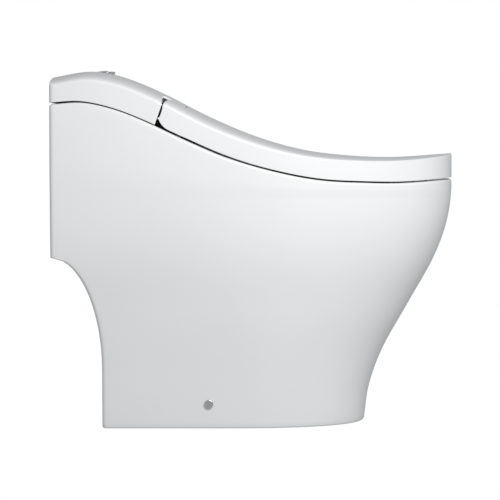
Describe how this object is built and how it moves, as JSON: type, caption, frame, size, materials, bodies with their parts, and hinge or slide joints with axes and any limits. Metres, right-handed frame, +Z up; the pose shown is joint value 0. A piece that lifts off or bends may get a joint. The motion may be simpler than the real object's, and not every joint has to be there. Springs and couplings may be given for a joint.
{
  "type": "one-piece electric bidet toilet",
  "caption": "Skirted one-piece toilet with an integrated electric bidet seat: a deep lid over a heated seat on one hinge axis, a spray wand, a warm-air dryer and a two-part flush button.",
  "frame": {"origin": "on the floor under the middle of the bounding box", "axes": "+X across the body, -Y towards the nose of the bowl, +Z up"},
  "size_m": [0.4, 0.675, 0.5988],
  "materials": {
    "ceramic": "vitreous china, glossy glaze",
    "cover_white": "glossy moulded resin",
    "chrome_trim": "polished",
    "steel": "satin",
    "zinc_steel": "zinc plated",
    "brass_fitting": "machined",
    "dark_plastic": "matt",
    "rubber_seal": "matt",
    "soft_bumper": "soft matt",
    "tank_plastic": "natural polymer",
    "valve_white": "satin",
    "valve_orange": "satin",
    "float_blue": "satin",
    "wand_white": "gloss",
    "unit_grey": "fine texture",
    "damper_grey": "satin",
    "motor_can": "satin",
    "heater_foil": "foil",
    "hose_blue": "satin",
    "wire_black": "satin",
    "circuit_green": "solder mask",
    "carbon_grey": "matt",
    "light_lens": "frosted"
  },
  "bodies": {
    "root": {"ceramic_foot": "ceramic", "ceramic_middle": "ceramic", "ceramic_rim": "ceramic", "trapway": "ceramic", "outlet_connector": "dark_plastic", "outlet_seal": "rubber_seal", "floor_brackets": "zinc_steel", "fixing_screws": "steel", "side_screw_caps": "chrome_trim", "flush_tank": "tank_plastic", "tank_lid": "tank_plastic", "fill_valve": "valve_white", "flush_valve_body": "valve_white", "button_bezel": "chrome_trim", "rear_cover": "cover_white", "hinge_cover": "cover_white", "hinge_carrier": "dark_plastic", "hinge_pins": "steel", "lid_damper": "damper_grey", "seat_damper": "damper_grey", "base_tray": "unit_grey", "tray_bolts": "steel", "wand_guide": "unit_grey", "wand_motor": "motor_can", "dryer_duct": "unit_grey", "dryer_housing": "unit_grey", "dryer_motor": "motor_can", "heater_tank": "valve_white", "inlet_valve": "valve_white", "flow_selector": "valve_white", "selector_motor": "motor_can", "water_hoses": "hose_blue", "water_inlet": "brass_fitting", "deodorizer_filter": "carbon_grey", "control_board": "circuit_green", "board_cover": "unit_grey", "power_inlet": "dark_plastic", "wiring_harness": "wire_black", "night_light": "light_lens"},
    "seat": {"seat_top": "cover_white", "seat_base": "cover_white", "seat_heater": "heater_foil", "seat_hinge_arms": "cover_white", "seat_bumpers": "soft_bumper"},
    "lid": {"lid_shell": "cover_white", "lid_hinge_arms": "cover_white", "lid_bumpers": "soft_bumper"},
    "full_button": {"full_flush_button": "chrome_trim", "full_flush_rod": "valve_white"},
    "half_button": {"half_flush_button": "chrome_trim", "half_flush_rod": "valve_white"},
    "lift": {"lift_tube": "valve_orange", "flush_washer": "rubber_seal"},
    "rocker": {"flush_rocker": "valve_white"},
    "float": {"fill_valve_float": "float_blue"},
    "wand": {"spray_wand": "wand_white", "wand_nozzle": "steel"},
    "pinion": {"wand_pinion": "valve_white"},
    "impeller": {"dryer_impeller": "unit_grey"},
    "flap": {"dryer_flap": "valve_white"}
  },
  "joints": [
    {"name": "seat_hinge", "type": "hinge", "parent": "root", "child": "seat", "pos_m": [0, 0.1375, 0.533], "axis": [1, 0, 0], "range_deg": [-95, 0]},
    {"name": "lid_hinge", "type": "hinge", "parent": "seat", "child": "lid", "pos_m": [0, 0.1375, 0.533], "axis": [-1, 0, 0], "range_deg": [0, 98]},
    {"name": "full_flush_press", "type": "slide", "parent": "root", "child": "full_button", "axis": [0, 0, -1], "range_m": [0, 0.004], "stiffness_N_per_m": 400, "springref_m": -0.006},
    {"name": "half_flush_press", "type": "slide", "parent": "root", "child": "half_button", "axis": [0, 0, -1], "range_m": [0, 0.004], "stiffness_N_per_m": 400, "springref_m": -0.006},
    {"name": "rocker_tilt", "type": "hinge", "parent": "root", "child": "rocker", "pos_m": [0.02, 0.264, 0.452], "axis": [0, -1, 0], "range_deg": [-1, 17]},
    {"name": "valve_lift", "type": "slide", "parent": "root", "child": "lift", "axis": [0, 0, 1], "range_m": [-0.0002, 0.0082]},
    {"name": "float_rise", "type": "slide", "parent": "root", "child": "float", "axis": [0, 0, 1], "range_m": [-0.06, 0]},
    {"name": "wand_slide", "type": "slide", "parent": "root", "child": "wand", "axis": [0, -0.8192, -0.5736], "range_m": [0, 0.1]},
    {"name": "pinion_spin", "type": "hinge", "parent": "root", "child": "pinion", "pos_m": [-0.02, 0.14989, 0.5117], "axis": [-1, 0, 0], "range_deg": [-5, 722]},
    {"name": "impeller_spin", "type": "hinge", "parent": "root", "child": "impeller", "pos_m": [0.038, 0.1955, 0.532], "axis": [1, 0, 0], "continuous": true},
    {"name": "flap_swing", "type": "hinge", "parent": "root", "child": "flap", "pos_m": [0.038, 0.05348, 0.44279], "axis": [-1, 0, 0], "range_deg": [0, 70], "stiffness_Nm_per_rad": 0.004, "springref_deg": -28.65}
  ],
  "couplings": [
    {"joint": "rocker_tilt", "follows": "full_flush_press", "rad_per_m": 71.43},
    {"joint": "valve_lift", "follows": "full_flush_press", "ratio": 2},
    {"joint": "pinion_spin", "follows": "wand_slide", "rad_per_m": 125}
  ]
}
